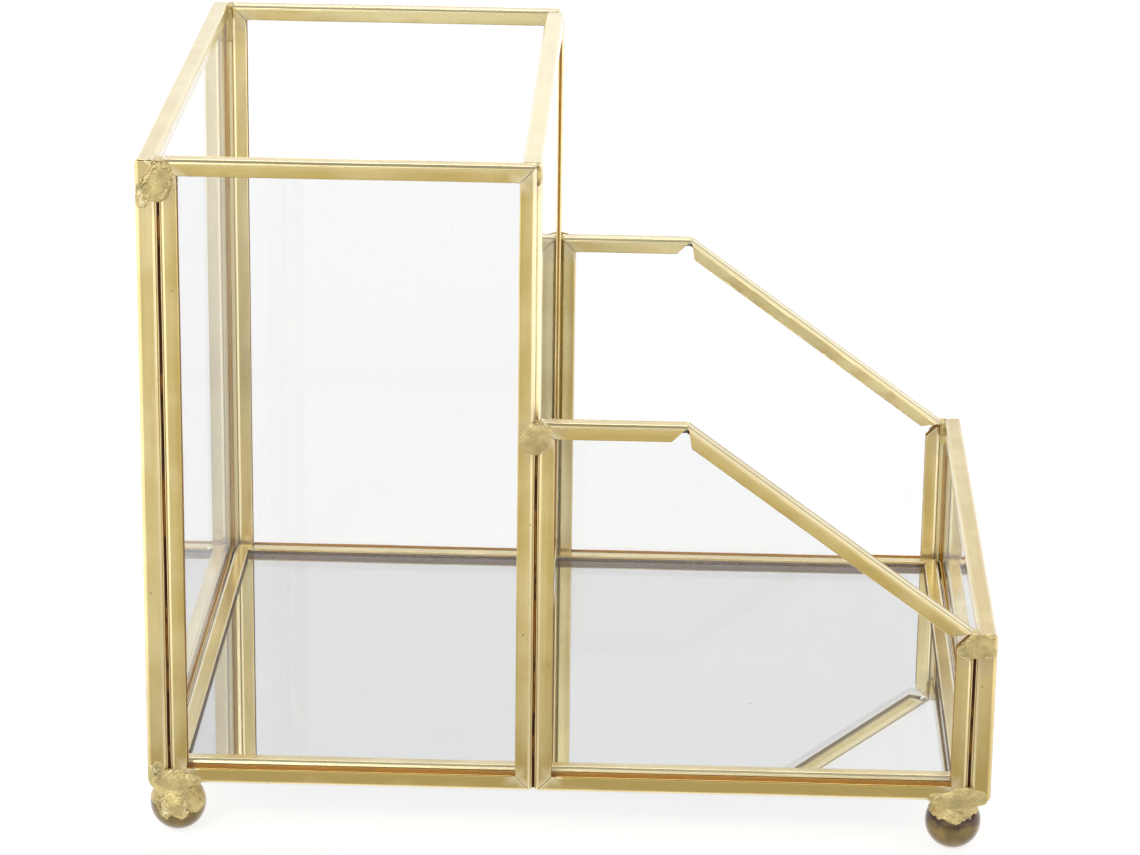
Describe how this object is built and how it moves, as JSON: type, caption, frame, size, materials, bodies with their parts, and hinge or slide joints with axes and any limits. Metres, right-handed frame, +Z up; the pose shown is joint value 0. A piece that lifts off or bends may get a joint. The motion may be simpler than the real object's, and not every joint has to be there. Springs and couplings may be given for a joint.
{
  "type": "stepped glass jewelry box",
  "caption": "Open-topped glass and brass box with a tall bay, a lower sloping bay and a mirror floor, for jewellery and brushes.",
  "frame": {"origin": "middle of the footprint, on the surface the four ball feet stand on", "axes": "+X to the right, towards the low wall; +Y to the back; +Z up"},
  "size_m": [0.1806, 0.146, 0.1497],
  "materials": {
    "channel_brass": "polished folded brass strip",
    "foot_brass": "polished solid brass ball",
    "solder": "brass-plated solder, lumpy and half bright",
    "clear_glass": "clear polished float glass",
    "mirror_glass": "silvered under the glass"
  },
  "bodies": {
    "root": {"frame_tall_front": "channel_brass", "frame_tall_rear": "channel_brass", "frame_low_front": "channel_brass", "frame_low_rear": "channel_brass", "frame_left_side": "channel_brass", "frame_right_side": "channel_brass", "frame_divider": "channel_brass", "frame_floor": "channel_brass", "glass_tall_front": "clear_glass", "glass_tall_rear": "clear_glass", "glass_low_front": "clear_glass", "glass_low_rear": "clear_glass", "glass_left_side": "clear_glass", "glass_right_side": "clear_glass", "glass_divider": "clear_glass", "mirror_floor": "mirror_glass", "foot_front_left": "foot_brass", "foot_rear_left": "foot_brass", "foot_front_right": "foot_brass", "foot_rear_right": "foot_brass", "solder_top_left_front": "solder", "solder_step_front": "solder", "solder_top_right_front": "solder", "solder_divider_front": "solder", "solder_foot_left_front": "solder", "solder_foot_right_front": "solder", "solder_top_left_rear": "solder", "solder_step_rear": "solder", "solder_top_right_rear": "solder", "solder_divider_rear": "solder", "solder_foot_left_rear": "solder", "solder_foot_right_rear": "solder"}
  },
  "joints": []
}
